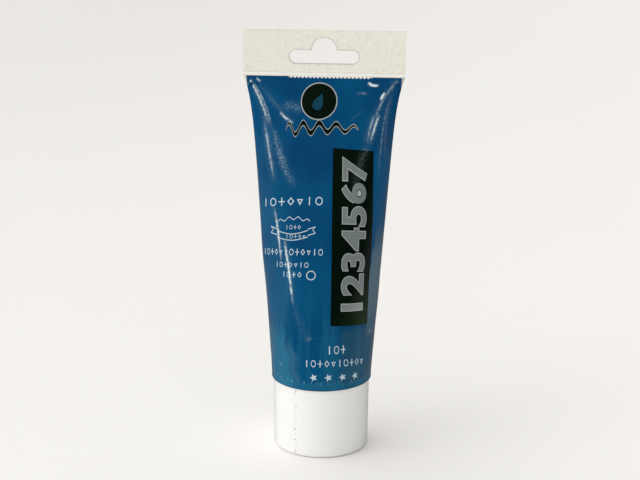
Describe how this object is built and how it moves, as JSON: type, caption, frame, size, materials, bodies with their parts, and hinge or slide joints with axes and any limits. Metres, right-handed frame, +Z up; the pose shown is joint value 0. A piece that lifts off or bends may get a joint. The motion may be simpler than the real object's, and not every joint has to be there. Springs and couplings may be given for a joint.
{
  "type": "paint tube",
  "caption": "Squeezable plastic paint tube with a flat sealed tail and hang slot, standing on its wide white screw cap.",
  "frame": {"origin": "middle of the cap's standing face", "axes": "+Z up through the cap and the sleeve to the tail, X along the tail's width, the printed front faces -Y"},
  "size_m": [0.0546, 0.035, 0.146],
  "materials": {
    "cap_plastic": "smooth gloss, moulded",
    "liner_foam": "fine closed-cell foam",
    "head_plastic": "natural translucent, moulded",
    "foil": "bright foil",
    "sleeve_plastic": "clear gloss film with blue paint behind it",
    "paint": "wet gloss"
  },
  "bodies": {
    "cap": {"cap": "cap_plastic"},
    "liner": {"cap_liner": "liner_foam"},
    "tube": {"head": "head_plastic", "seal_foil": "foil", "sleeve": "sleeve_plastic", "paint": "paint"}
  },
  "joints": [
    {"name": "tube_turn", "type": "hinge", "parent": "cap", "child": "liner", "pos_m": [0, 0, 0], "axis": [0, 0, 1], "range_deg": [0, 2640]},
    {"name": "tube_lift", "type": "slide", "parent": "liner", "child": "tube", "axis": [0, 0, 1], "range_m": [0, 0.0221]}
  ],
  "couplings": [
    {"joint": "tube_lift", "follows": "tube_turn", "m_per_rad": 0.00047746}
  ]
}
